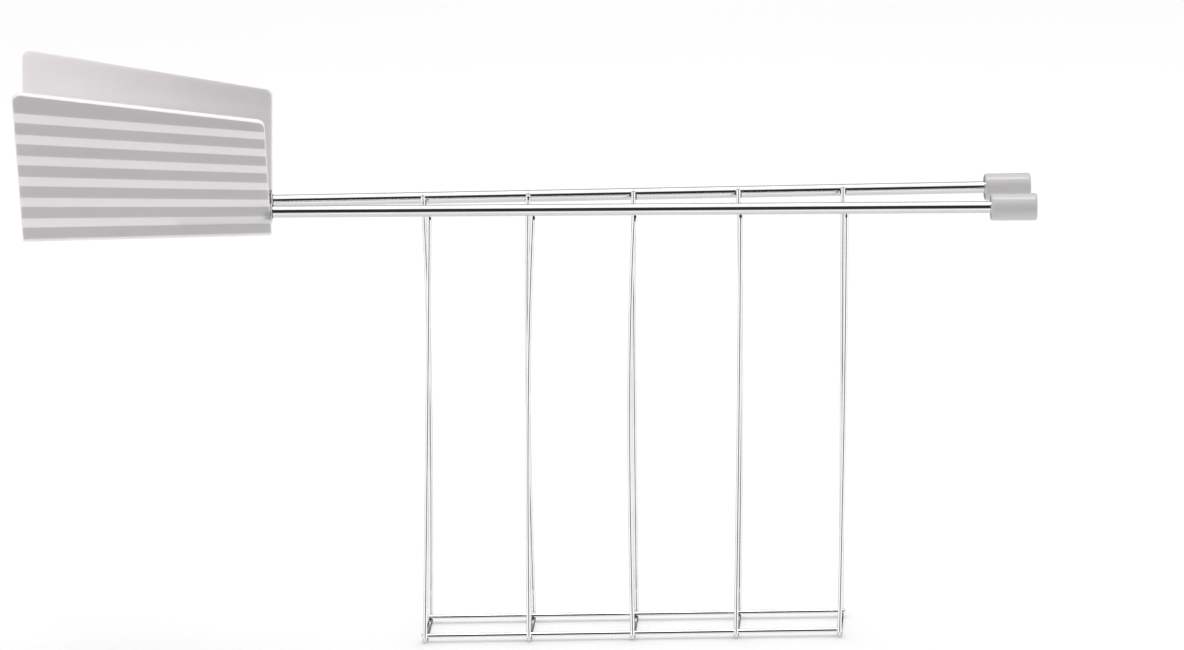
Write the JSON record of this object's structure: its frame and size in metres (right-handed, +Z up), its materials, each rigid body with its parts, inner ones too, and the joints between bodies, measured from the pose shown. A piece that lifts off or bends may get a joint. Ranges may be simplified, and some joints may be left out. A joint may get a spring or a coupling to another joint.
{
  "type": "toast rack",
  "caption": "Wire toast rack for a slot toaster: springy U-shaped wires hang from chromed rods, with pleated plastic grips at one end and insulating caps at the other.",
  "frame": {"origin": "centre of the bounding box on the surface the cage stands on", "axes": "+X along the rods from the handle to the end caps, +Y from the front side to the back side, +Z up"},
  "size_m": [0.3458, 0.055, 0.2053],
  "materials": {
    "rod_chrome": "polished chrome plating",
    "wire_steel": "bright plated spring wire",
    "grip_plastic": "satin light grey moulding",
    "cap_plastic": "satin light grey moulding"
  },
  "bodies": {
    "back_side_and_base": {"back_bottom_rail": "wire_steel", "front_bottom_rail": "wire_steel", "base_bend_1": "wire_steel", "base_bend_2": "wire_steel", "base_bend_3": "wire_steel", "base_bend_4": "wire_steel", "base_bend_5": "wire_steel", "back_rod": "rod_chrome", "back_handle": "grip_plastic", "back_end_cap": "cap_plastic", "back_leg_1": "wire_steel", "back_leg_2": "wire_steel", "back_leg_3": "wire_steel", "back_leg_4": "wire_steel", "back_leg_5": "wire_steel"},
    "front_side": {"front_rod": "rod_chrome", "front_handle": "grip_plastic", "front_end_cap": "cap_plastic", "front_leg_1": "wire_steel", "front_leg_2": "wire_steel", "front_leg_3": "wire_steel", "front_leg_4": "wire_steel", "front_leg_5": "wire_steel"}
  },
  "joints": [
    {"name": "front_side_flex", "type": "hinge", "parent": "back_side_and_base", "child": "front_side", "pos_m": [0.03625, -0.00915, 0.00225], "axis": [1, 0, 0], "range_deg": [-1.8, 12], "stiffness_Nm_per_rad": 2}
  ]
}
